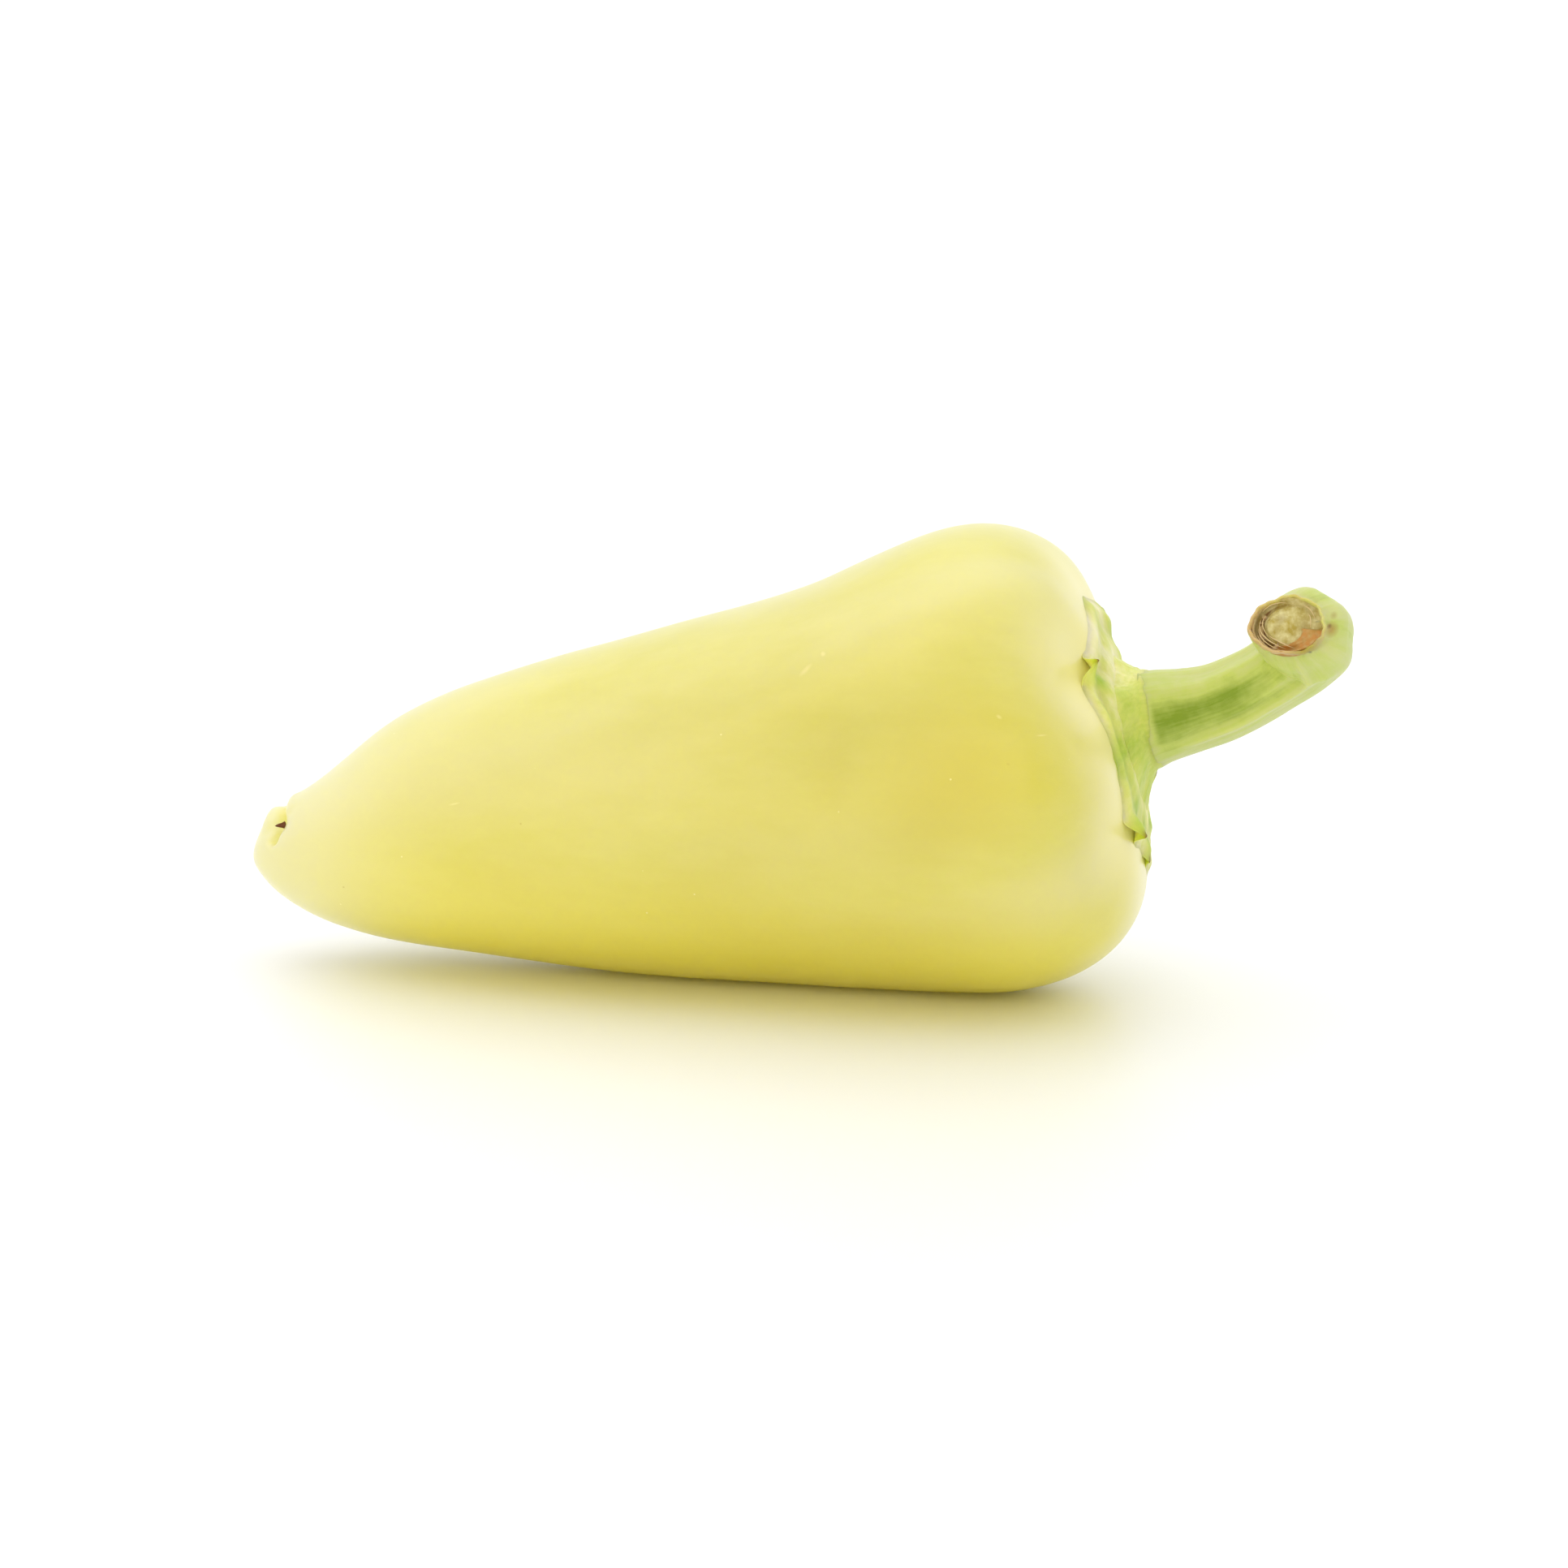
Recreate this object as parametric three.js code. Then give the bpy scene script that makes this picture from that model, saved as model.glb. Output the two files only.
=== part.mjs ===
// A pale yellow sweet pepper, as picked, lying on its side. Millimetres, +Z up, stem end towards +X.
// The pod, the calyx, the stem and the dry remnant of the flower's style are four separate solids.

import * as THREE from 'three';

// Driving dimensions ---------------------------------------------------------------------------------------

const GAP = 0.3; // clear space between pieces that touch
const POD_STEPS = 4; // rings between two points of a side's outline
const POD_SIDES = 52; // points round the pod

// The pod's four sides, from the middle of the blossom end to the middle of the calyx seat.
// The lower line stays level over the length that rests on the table.
const UPPER_LINE = [
  [-1.5, 14.2], [0.1, 18], [6.5, 22.8], [17.5, 31.4], [34, 38.2], [54, 44.4],
  [71, 50], [82, 55.6], [91, 57.6], [99, 54.4], [103.5, 47.6], [106.2, 41], [108.2, 33.8],
]; // [along, height]
const LOWER_LINE = [
  [-1.5, 14.2], [-0.1, 9.6], [5.8, 5.7], [15, 2.9], [32, 1.2], [53, -0.35],
  [70, -0.35], [84, -0.35], [97, 0.2], [106.6, 4.8], [111.2, 12], [110.8, 21], [108.2, 33.8],
]; // [along, height]
const NEAR_LINE = [
  [-1.5, 0], [-0.6, 4.2], [5.5, 8.6], [16, 14.2], [33, 18.8], [54, 22],
  [71, 24.6], [84, 27], [95, 28.2], [104, 25.2], [109, 17], [108.9, 9], [108.2, 0],
]; // [along, half width]
const FAR_LINE = [
  [-1.5, 0], [-0.3, 4.4], [6, 9], [16.5, 14.6], [33, 19], [54, 21.6],
  [71, 23.8], [84, 26.4], [95, 27.6], [103.6, 25], [107.6, 17], [108, 9], [108.2, 0],
]; // [along, half width]

// Valleys between the shoulder lobes: turn round the pod in degrees (0 up, 90 near, 180 down) and depth.
// They wind round the pod a little on their way to the blossom end.
const VALLEYS = [
  { turn: 48, depth: 2.4 },
  { turn: 116, depth: 1.4 },
  { turn: 212, depth: 2.2 },
  { turn: 300, depth: 2.4 },
];
const VALLEY_WIDTH = 19; // degrees
const VALLEY_TWIST = 60; // degrees over the pod's whole length
const VALLEY_START = 0.2; // share of the pod's length where the valleys begin
const VALLEY_FULL = 0.66; // share where they reach their depth
const VALLEY_END = 0.02; // share left to the middle of the calyx seat where they have faded out
const VALLEY_FADE = 0.2; // share left where that fading begins
const VALLEY_LIMIT = 0.5; // most of the pod's radius that a valley may take
const SHOULDER = 0.81; // share of the pod's length at the rim of the shoulder
const SHOULDER_WIDTH = 0.07; // share over which the rim fades
const SHOULDER_NOTCH = 1.2; // how far a valley sets the rim back, for each mm of its depth

const PIT = { at: [2.6, -4.4, 17.2], radius: 1.7, depth: 1.9 }; // blossom-end pit that holds the style
const PIT_LEAST = 0.01; // a dip shallower than this is left out

const CALYX_SIDES = 48;
const CALYX_REACH = 0.141; // share of the outline, from the middle of the seat, that the calyx covers
const TOOTH_REACH = 0.022; // how much further its teeth reach
const CALYX_LEAN = 0.018; // how much more of the seat it covers above than below
const TOOTH_TURNS = [0, 48, 114, 176, 240, 300]; // degrees
const TOOTH_WIDTH = 13; // degrees
const CALYX_EDGE = 0.7; // thickness at the margin
const CALYX_BODY = 1.3; // thickness near the cone
const CONE_START = 0.45; // share of the calyx where its cone begins

const JOINT = new THREE.Vector3(111.2, 0, 34.4); // middle of the joint between calyx and stem
const JOINT_RADIUS = 5.7;

const STEM_SIDES = 20;
const STEM_STEPS = 26;
const STEM_PATH = [
  [111.2, 0, 34.4], [115.8, 0, 35.5], [120.4, -0.5, 37.1], [124.8, -1.4, 39.3],
  [128.4, -3.2, 42.1], [130.6, -6, 44.9], [130, -9.4, 47.1], [126.9, -12.8, 48.5],
];
const STEM_RADII = [5.7, 5.1, 4.7, 4.6, 4.8, 5, 4.9, 4.4]; // one for each point of the path
const STEM_RIBS = 5;
const STEM_RIB_HEIGHT = 0.25;

const STYLE = { length: 1.5, base: 0.45, tip: 0.22, lean: [-0.75, -0.55, 0.35], lift: 0.85 };

// Colours and finishes --------------------------------------------------------------------------------------

const waxySkin = new THREE.MeshStandardMaterial({ color: 0xeee07f, roughness: 0.38, metalness: 0 });
const calyxGreen = new THREE.MeshStandardMaterial({ color: 0xc9d77e, roughness: 0.6, metalness: 0 });
const stemGreen = new THREE.MeshStandardMaterial({ color: 0xb0c05a, roughness: 0.55, metalness: 0 });
const dryBrown = new THREE.MeshStandardMaterial({ color: 0x5a2f12, roughness: 0.85, metalness: 0 });

// Shared shape functions ------------------------------------------------------------------------------------

const radians = THREE.MathUtils.degToRad;

function smoothLine(points) {
  const knots = points.map(([along, across]) => new THREE.Vector3(along, across, 0));
  return new THREE.CatmullRomCurve3(knots, false, 'centripetal');
}

// How much of a bump centred on one turn is felt at another, both in radians.
function bumpAt(turn, centre, width) {
  const apart = Math.atan2(Math.sin(turn - centre), Math.cos(turn - centre));
  return Math.exp(-((apart / width) ** 2));
}

// A closed solid over rows of points. Each row gives its point at a turn; the first and last are one point.
function skinOver(rows, sides) {
  const geometry = new THREE.SphereGeometry(1, sides, rows.length - 1);
  const { position, uv } = geometry.attributes;
  for (let i = 0; i < position.count; i += 1) {
    const row = rows[Math.round((1 - uv.getY(i)) * (rows.length - 1))];
    const point = row(-2 * Math.PI * uv.getX(i));
    position.setXYZ(i, point.x, point.y, point.z);
  }
  geometry.computeVertexNormals();
  return geometry;
}

// Pod -------------------------------------------------------------------------------------------------------

const upper = smoothLine(UPPER_LINE);
const lower = smoothLine(LOWER_LINE);
const near = smoothLine(NEAR_LINE);
const far = smoothLine(FAR_LINE);

// A point of the pod's skin: share runs from the blossom end (0) to the calyx seat (1), turn goes round it.
function podPoint(share, turn) {
  const up = upper.getPoint(share);
  const down = lower.getPoint(share);
  const front = near.getPoint(share);
  const back = far.getPoint(share);
  const cos = Math.cos(turn);
  const sin = Math.sin(turn);
  const along = (up.x + down.x + front.x + back.x) / 4
    + ((up.x - down.x) * cos + (front.x - back.x) * sin) / 2
    + ((up.x + down.x - front.x - back.x) * Math.cos(2 * turn)) / 4;
  const middle = new THREE.Vector3(along, (back.y - front.y) / 2, (up.y + down.y) / 2);
  const arm = new THREE.Vector3(0, (-sin * (front.y + back.y)) / 2, (cos * (up.y - down.y)) / 2);

  let valley = 0;
  for (const { turn: centre, depth } of VALLEYS) {
    const wound = centre + VALLEY_TWIST * (SHOULDER - share);
    valley += depth * bumpAt(turn, radians(wound), radians(VALLEY_WIDTH));
  }
  const growth = THREE.MathUtils.smoothstep(share, VALLEY_START, VALLEY_FULL);
  const seatFade = THREE.MathUtils.smoothstep(1 - share, VALLEY_END, VALLEY_FADE);
  const radius = arm.length();
  if (radius > 0) arm.multiplyScalar(1 - Math.min(VALLEY_LIMIT, (valley * growth * seatFade) / radius));
  const rim = seatFade * Math.exp(-(((share - SHOULDER) / SHOULDER_WIDTH) ** 2));
  const point = middle.add(arm);
  point.x -= SHOULDER_NOTCH * rim * valley;
  return point;
}

function outwardAt(share, turn) {
  const step = 1e-3; // of the pod's length, and radians round it
  const ahead = podPoint(Math.min(1, share + step), turn).sub(podPoint(share - step, turn));
  const round = podPoint(share, turn + step).sub(podPoint(share, turn - step));
  return new THREE.Vector3().crossVectors(round, ahead).normalize();
}

function podSkin(share, turn) {
  const point = podPoint(share, turn);
  const pit = new THREE.Vector3(...PIT.at);
  const dip = PIT.depth * Math.exp(-((point.distanceTo(pit) / PIT.radius) ** 2));
  if (dip > PIT_LEAST) point.addScaledVector(outwardAt(share, turn), -dip);
  point.z = Math.max(0, point.z); // rests flat on the table
  return point;
}

function makePod() {
  const segments = (UPPER_LINE.length - 1) * POD_STEPS;
  const rows = Array.from({ length: segments + 1 }, (_, i) => (turn) => podSkin(i / segments, turn));
  return skinOver(rows, POD_SIDES);
}

// Calyx -----------------------------------------------------------------------------------------------------

const stemLine = new THREE.CatmullRomCurve3(STEM_PATH.map((point) => new THREE.Vector3(...point)));
const jointAxis = stemLine.getTangent(0);
const jointUp = new THREE.Vector3(0, 0, 1).addScaledVector(jointAxis, -jointAxis.z).normalize();
const jointSide = new THREE.Vector3().crossVectors(jointAxis, jointUp);

function aroundJoint(turn, radius) {
  return JOINT.clone()
    .addScaledVector(jointUp, radius * Math.cos(turn))
    .addScaledVector(jointSide, radius * Math.sin(turn));
}

// A point over the calyx seat: reach runs from its middle (0) to the calyx's margin (1).
function overSeat(reach, turn, lift) {
  if (reach === 0) return podPoint(1, 0).addScaledVector(jointAxis, lift);
  let cover = CALYX_REACH + CALYX_LEAN * Math.cos(turn);
  for (const tooth of TOOTH_TURNS) cover += TOOTH_REACH * bumpAt(turn, radians(tooth), radians(TOOTH_WIDTH));
  const share = 1 - reach * cover;
  return podPoint(share, turn).addScaledVector(outwardAt(share, turn), lift);
}

// A point of the cone between the calyx's disc (rise 0) and the joint (rise 1).
function onCone(rise, turn) {
  const foot = overSeat(CONE_START, turn, GAP + CALYX_BODY);
  const head = aroundJoint(turn, JOINT_RADIUS);
  const climb = head.clone().sub(foot).dot(jointAxis);
  const inward = Math.sin((rise * Math.PI) / 2);
  return foot.lerp(head, inward).addScaledVector(jointAxis, (rise - inward) * climb);
}

function makeCalyx() {
  const under = [0, 0.2, 0.4, 0.6, 0.8, 1];
  const over = [1, 0.8, 0.6, CONE_START];
  const cone = [0.35, 0.7, 1];
  const rows = under.map((reach) => (turn) => overSeat(reach, turn, GAP));
  for (const reach of over) {
    const thickness = THREE.MathUtils.lerp(CALYX_EDGE, CALYX_BODY, (1 - reach) / (1 - CONE_START));
    rows.push((turn) => overSeat(reach, turn, GAP + thickness));
  }
  for (const rise of cone) rows.push((turn) => onCone(rise, turn));
  rows.push(() => JOINT.clone());
  return skinOver(rows, CALYX_SIDES);
}

// Stem ------------------------------------------------------------------------------------------------------

function makeStem() {
  const frames = stemLine.computeFrenetFrames(STEM_STEPS);
  const radii = smoothLine(STEM_RADII.map((radius, i) => [i, radius]));
  const middles = frames.tangents.map((_, i) => stemLine.getPointAt(i / STEM_STEPS));
  middles[0].addScaledVector(jointAxis, GAP);
  const rows = middles.map((middle, i) => (turn) => {
    const radius = radii.getPoint(stemLine.getUtoTmapping(i / STEM_STEPS)).y;
    const arm = radius + STEM_RIB_HEIGHT * Math.cos(STEM_RIBS * turn);
    return middle.clone()
      .addScaledVector(frames.normals[i], arm * Math.cos(turn))
      .addScaledVector(frames.binormals[i], arm * Math.sin(turn));
  });
  return skinOver([() => middles[0], ...rows, () => middles[STEM_STEPS]], STEM_SIDES);
}

// Style remnant ---------------------------------------------------------------------------------------------

function makeStyle() {
  const geometry = new THREE.CylinderGeometry(STYLE.tip, STYLE.base, STYLE.length, 9, 2);
  const lean = new THREE.Vector3(...STYLE.lean).normalize();
  geometry.applyQuaternion(new THREE.Quaternion().setFromUnitVectors(new THREE.Vector3(0, 1, 0), lean));
  return geometry;
}

// Assembly --------------------------------------------------------------------------------------------------

const pepper = new THREE.Group();

function addPiece(name, geometry, material) {
  const piece = new THREE.Mesh(geometry, material);
  piece.name = name;
  pepper.add(piece);
  return piece;
}

addPiece('pod', makePod(), waxySkin);
addPiece('calyx', makeCalyx(), calyxGreen);
addPiece('stem', makeStem(), stemGreen);
const style = addPiece('style_remnant', makeStyle(), dryBrown);
style.position.set(...PIT.at).addScaledVector(new THREE.Vector3(...STYLE.lean).normalize(), STYLE.lift);

// The origin goes to the middle of the underside of the whole pepper's box.
const box = new THREE.Box3().setFromObject(pepper);
pepper.position.set(-(box.min.x + box.max.x) / 2, -(box.min.y + box.max.y) / 2, -box.min.z);
pepper.updateMatrixWorld(true);

export default pepper;
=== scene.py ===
# A pale yellow sweet pepper, as picked, lying on its side on a white table. Metres, +Z up, stem towards +X.
import math

import bpy
import numpy as np
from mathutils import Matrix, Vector, noise
from mathutils.bvhtree import BVHTree


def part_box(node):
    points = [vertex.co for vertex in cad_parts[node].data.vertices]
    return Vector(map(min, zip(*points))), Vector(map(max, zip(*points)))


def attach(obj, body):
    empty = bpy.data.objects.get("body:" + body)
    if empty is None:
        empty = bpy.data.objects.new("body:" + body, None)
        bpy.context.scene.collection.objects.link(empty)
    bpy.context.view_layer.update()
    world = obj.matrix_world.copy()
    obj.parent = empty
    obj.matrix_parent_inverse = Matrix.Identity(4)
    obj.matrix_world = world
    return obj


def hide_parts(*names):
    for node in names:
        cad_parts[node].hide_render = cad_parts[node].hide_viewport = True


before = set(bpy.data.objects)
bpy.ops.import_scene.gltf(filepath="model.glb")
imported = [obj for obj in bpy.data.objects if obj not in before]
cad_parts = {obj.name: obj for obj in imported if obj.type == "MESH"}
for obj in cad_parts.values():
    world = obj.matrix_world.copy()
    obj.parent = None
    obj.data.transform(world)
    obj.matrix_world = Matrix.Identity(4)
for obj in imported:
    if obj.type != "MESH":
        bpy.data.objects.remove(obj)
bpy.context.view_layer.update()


# Table, room and camera ------------------------------------------------------------------------------------
# A satin white table in a bright white room, with one big softbox low in front of it and a softly lit ceiling
# over it. The lens is long, a little above the table and a little towards the stem end.

MM = 0.001  # one millimetre, in metres


def linear(hex_colour):
    """An sRGB hex colour as linear RGBA."""
    channels = [int(hex_colour[i:i + 2], 16) / 255 for i in (1, 3, 5)]
    return [c / 12.92 if c <= 0.04045 else ((c + 0.055) / 1.055) ** 2.4 for c in channels] + [1.0]


def add_node(tree, kind, sockets=(), **settings):
    """Adds a node with its settings. Each socket gets a value, or a link from another node's output."""
    node = tree.nodes.new(kind)
    for setting, value in settings.items():
        setattr(node, setting, value)
    for socket, value in dict(sockets).items():
        if isinstance(value, bpy.types.NodeSocket):
            tree.links.new(value, node.inputs[socket])
        else:
            node.inputs[socket].default_value = value
    return node


def blend(tree, share, first, second):
    """A colour between two: the first where the share is 0, the second where it is 1."""
    return add_node(tree, "ShaderNodeMix", {
        "Factor": share, "A": first, "B": second}, data_type="RGBA").outputs["Result"]


def rescaled(tree, value, low, high, to_low=0.0, to_high=1.0):
    """A value whose run from low to high becomes a run from to_low to to_high, and goes no further."""
    return add_node(tree, "ShaderNodeMapRange", {
        "Value": value, "From Min": low, "From Max": high,
        "To Min": to_low, "To Max": to_high}).outputs["Result"]


def new_material(name):
    """A material with one Principled shader, and its node tree."""
    material = bpy.data.materials.new(name)
    material.use_nodes = True
    tree = material.node_tree
    return material, tree, tree.nodes["Principled BSDF"]


def aim_at(thing, target):
    """Turns a lamp or a camera so that it looks at a point."""
    thing.rotation_euler = (Vector(target) - thing.location).to_track_quat("-Z", "Y").to_euler()


TABLE_SIZE = 40.0  # so large that its edge is lost in the white of the room
ROOM_STRENGTH = 1.08
SOFTBOX_PLACE = (-0.15, -0.9, 0.12)
SOFTBOX_SIZE = 1.1
SOFTBOX_WATTS = 4.6
CEILING_PLACE = (-0.25, 0.2, 1.2)
CEILING_STRENGTH = 0.5
CEILING_SPREAD = math.radians(75)
AIM = Vector((-1.1, 0.2, 24.4)) * MM
CAMERA_TURN = math.radians(11)
CAMERA_RISE = math.radians(11.5)
CAMERA_DISTANCE = 0.56
LENS_MM = 104.35

bpy.context.scene.view_settings.view_transform = "Standard"

room = bpy.data.worlds.new("white_room")
room.use_nodes = True
room_light = room.node_tree.nodes["Background"]
direction = add_node(room.node_tree, "ShaderNodeTexCoord").outputs["Generated"]
to_the_front = add_node(room.node_tree, "ShaderNodeVectorMath", {
    0: direction, 1: (0.0, -1.0, 0.0)}, operation="DOT_PRODUCT")
# The wall on the viewer's side is cream and a little dimmer than the others, which are white.
wall_share = rescaled(room.node_tree, to_the_front.outputs["Value"], 0.05, 0.85)
wall = blend(room.node_tree, wall_share, linear("#ffffff"), linear("#c6bd98"))
# Seen straight on, the room is white all round.
seen = add_node(room.node_tree, "ShaderNodeLightPath").outputs["Is Camera Ray"]
backdrop = blend(room.node_tree, seen, wall, linear("#ffffff"))
room.node_tree.links.new(backdrop, room_light.inputs["Color"])
room_light.inputs["Strength"].default_value = ROOM_STRENGTH
bpy.context.scene.world = room

# Pearl-white lacquered board: its satin face takes a soft yellow reflection under the fruit.
lacquer, _, lacquer_face = new_material("pearl_white_lacquer")
lacquer_face.inputs["Base Color"].default_value = linear("#fafbff")
lacquer_face.inputs["Metallic"].default_value = 0.3
lacquer_face.inputs["Roughness"].default_value = 0.5
lacquer_face.inputs["IOR"].default_value = 1.5

table_mesh = bpy.data.meshes.new("table")
half = TABLE_SIZE / 2
table_mesh.from_pydata(
    [(-half, -half, 0), (half, -half, 0), (half, half, 0), (-half, half, 0)], [], [(0, 1, 2, 3)])
table_mesh.materials.append(lacquer)
table = bpy.data.objects.new("table", table_mesh)
bpy.context.scene.collection.objects.link(table)

lamp = bpy.data.lights.new("front_softbox", "AREA")
lamp.shape = "SQUARE"
lamp.size = SOFTBOX_SIZE
lamp.energy = SOFTBOX_WATTS
lamp.color = linear("#fcf0c8")[:3]
softbox = bpy.data.objects.new("front_softbox", lamp)
softbox.location = SOFTBOX_PLACE
aim_at(softbox, AIM)
softbox.visible_camera = False
bpy.context.scene.collection.objects.link(softbox)

ceiling_light = bpy.data.lights.new("lit_ceiling", "SUN")
ceiling_light.energy = CEILING_STRENGTH
ceiling_light.angle = CEILING_SPREAD
ceiling = bpy.data.objects.new("lit_ceiling", ceiling_light)
ceiling.location = CEILING_PLACE
aim_at(ceiling, AIM)
bpy.context.scene.collection.objects.link(ceiling)

camera_data = bpy.data.cameras.new("camera")
camera_data.lens = LENS_MM
camera_data.sensor_width = 36
camera_data.clip_end = 60
camera = bpy.data.objects.new("camera", camera_data)
camera.location = AIM + CAMERA_DISTANCE * Vector((
    math.sin(CAMERA_TURN) * math.cos(CAMERA_RISE),
    -math.cos(CAMERA_TURN) * math.cos(CAMERA_RISE),
    math.sin(CAMERA_RISE)))
aim_at(camera, AIM)
bpy.context.scene.collection.objects.link(camera)
bpy.context.scene.camera = camera


# Pod -------------------------------------------------------------------------------------------------------
# The fruit: one hollow berry of thick crisp flesh under a thin tight skin with a natural wax bloom. It grew
# as three or four lobes that meet in shallow valleys, with the scar of the flower at its blunt tip.

POD_LOW, POD_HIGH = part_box("pod")
TIP_CENTRE = POD_LOW.x + 9 * MM  # the skin's rays fan out from here over the blossom end
SHOULDER_CENTRE = POD_HIGH.x - 24 * MM  # and from here over the shoulder
TIP_HEIGHT = 14.1 * MM
SHOULDER_HEIGHT = 28.3 * MM
TIP_ROWS, BODY_ROWS, SHOULDER_ROWS = 56, 130, 84
AROUND = 336
TIP_PITCH = 0.35  # how much closer the body's rows lie at the tip than on average
SMOOTH_ROWS = 4.0  # how far the facets are blurred, in rows and in columns
SMOOTH_AROUND = 4.0
COLLAR_MM = 11.0  # how far from the cap the flesh is painted paler, a painted highlight, and lets less light in

# Swellings and dents of the skin: height mm, distance from the blossom end mm, turn from the top towards
# the viewer's side in degrees, half length mm, half width degrees, and lean in degrees per mm.
SWELLINGS = [
    (0.55, 96, 32, 14, 9, -0.9),  # crest beside the near valley
    (0.35, 74, 48, 20, 9, -0.8),
    (-0.2, 84, 24, 16, 6, -0.3),  # faint groove along the top lobe
    (-1.25, 94, 84, 11, 20, 0.2),  # broad dent in the near lobe
    (-0.28, 77.5, 76, 2.6, 14, 0),  # short faint crease across the near lobe
    (0.5, 88, 116, 22, 12, 0.1),  # crest of the low lobe
    (0.4, 50, 92, 12, 18, 0),
    (-0.35, 64, 112, 9, 16, 0),
    (0.45, 27, 16, 9, 24, 0),  # round of the upper tip
    (-0.4, 40, 40, 12, 14, -0.5),
    (0.5, 92, 250, 16, 16, 0.3),
    (-0.6, 70, 228, 18, 14, 0.3),
    (0.4, 55, 270, 16, 20, -0.2),
    (-0.4, 34, 290, 12, 18, 0),
    (0.35, 100, 340, 9, 12, 0),
    (0.9, 104, 46, 5, 12, 0),  # the near valley fades out under the calyx
    (0.4, 104, 126, 9, 15, 0),
    (0.45, 1.5, 84, 3.5, 34, 0),  # the tip's lower bulge
]

# Painted highlight and shade: where the flesh is painted paler than its swellings make it, or deeper in
# colour (less than 0): share, distance mm, turn in degrees, half length mm and half width in degrees.
PAINTED_LIGHT_PATCHES = [
    (0.95, 0, 60, 22, 200),
    (0.42, 36, 54, 25, 24),
    (0.2, 93, 36, 14, 20),
    (0.3, 103, 124, 12, 18),
    (-0.28, 88, 106, 14, 16),
    (-0.12, 66, 90, 14, 20),
    (-0.3, 38, 98, 14, 16),
]

# The flower's scar at the blossom end, in millimetres.
SCAR_CREASE = [
    (-65.2, 2.2, 18.2), (-64.9, 0.4, 19.2), (-64.6, -1.6, 19.2), (-64.5, -3.3, 18.4), (-64.5, -4.5, 17.4),
    (-64.9, -5.6, 15.9)]
SCAR_DEPTH = 1.5
SCAR_HALF_WIDTH = 0.62
SCAR_NUB = [(-66.3, -1.2, 18.6), (-66.4, -2.6, 17.5)]
SCAR_LIP = [(-63.4, -0.6, 20.2), (-63.2, -3.4, 19.3)]

# Healed nicks and a few dark dots: place in mm, half length and half width in mm, how far it leans up in
# degrees, how strong it is, and its colour.
NICKS = [
    ((5.0, -17.4, 42.0), 1.2, 0.35, 45, 0.36, "#efe3b6"),
    ((7.0, -16.8, 43.9), 0.4, 0.32, 0, 0.4, "#f3e8bc"),
    ((29.0, -24.6, 38.3), 0.5, 0.25, -30, 0.36, "#f7f0c4"),
    ((34.0, -24.3, 36.2), 0.8, 0.15, 0, 0.35, "#f4ecbc"),
    ((30.4, -26.8, 33.1), 0.35, 0.18, -20, 0.35, "#a8923c"),
    ((-38.6, -16.5, 23.8), 0.9, 0.16, 15, 0.3, "#f6efc6"),
    ((-54.2, -11.8, 11.7), 0.2, 0.16, 0, 0.5, "#a8923c"),
    ((-29.7, -18.7, 22.2), 0.16, 0.16, 0, 0.45, "#a8923c"),
    ((-6.2, 17.6, 31.0), 0.9, 0.2, 20, 0.4, "#f4eec0"),
]
NICK_DEPTH = 2.5  # how far through the curved skin a mark reaches, mm
NICK_CORE = 0.3  # the share of it that is full in colour


def cad_surface(node):
    """The surface of a CAD node, for finding places on it."""
    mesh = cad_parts[node].data
    return BVHTree.FromPolygons([v.co for v in mesh.vertices], [p.vertices for p in mesh.polygons])


def arms_across(axis):
    """Two arms across an axis: one as near to straight up as can be, and one towards the viewer's side."""
    up = (Vector((0, 0, 1)) - axis * axis.z).normalized()
    return up, axis.cross(up)


def arm_at(turn, up, side):
    """The arm at a turn in radians from the first of two arms towards the second."""
    return up * math.cos(turn) + side * math.sin(turn)


def rays_over(surface):
    """Points of a surface on a grid of rows from the pod's blunt tip to its far end."""
    rows = [(0.0, math.pi / 2 * i / TIP_ROWS) for i in range(TIP_ROWS)]
    for i in range(BODY_ROWS):
        share = i / BODY_ROWS
        rows.append((share * (TIP_PITCH + (1 - TIP_PITCH) * share), math.pi / 2))
    rows += [(1.0, math.pi / 2 * (1 + i / SHOULDER_ROWS)) for i in range(SHOULDER_ROWS + 1)]
    points = np.zeros((len(rows), AROUND, 3))
    for i, (share, tilt) in enumerate(rows):
        origin = TIP_MIDDLE.lerp(SHOULDER_MIDDLE, share)
        for j in range(AROUND):
            arm = arm_at(2 * math.pi * j / AROUND, POD_UP, POD_SIDE)
            points[i, j] = surface.ray_cast(origin, arm * math.sin(tilt) - POD_AXIS * math.cos(tilt))[0]
    return points


def blurred(points, rows_sigma, around_sigma):
    """The grid with its facets smoothed away: a Gaussian blur that runs over both poles."""
    reach = int(3 * rows_sigma)
    before = [np.roll(points[i], AROUND // 2, axis=0) for i in range(reach, 0, -1)]
    after = [np.roll(points[-1 - i], AROUND // 2, axis=0) for i in range(1, reach + 1)]
    padded = np.concatenate([before, points, after])
    offsets = np.arange(-reach, reach + 1)
    weights = np.exp(-0.5 * (offsets / rows_sigma) ** 2)
    blurred_rows = sum(
        w * padded[reach + k:reach + k + len(points)] for k, w in zip(offsets, weights)) / weights.sum()
    reach = int(3 * around_sigma)
    offsets = np.arange(-reach, reach + 1)
    weights = np.exp(-0.5 * (offsets / around_sigma) ** 2)
    return sum(w * np.roll(blurred_rows, k, axis=1) for k, w in zip(offsets, weights)) / weights.sum()


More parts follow.
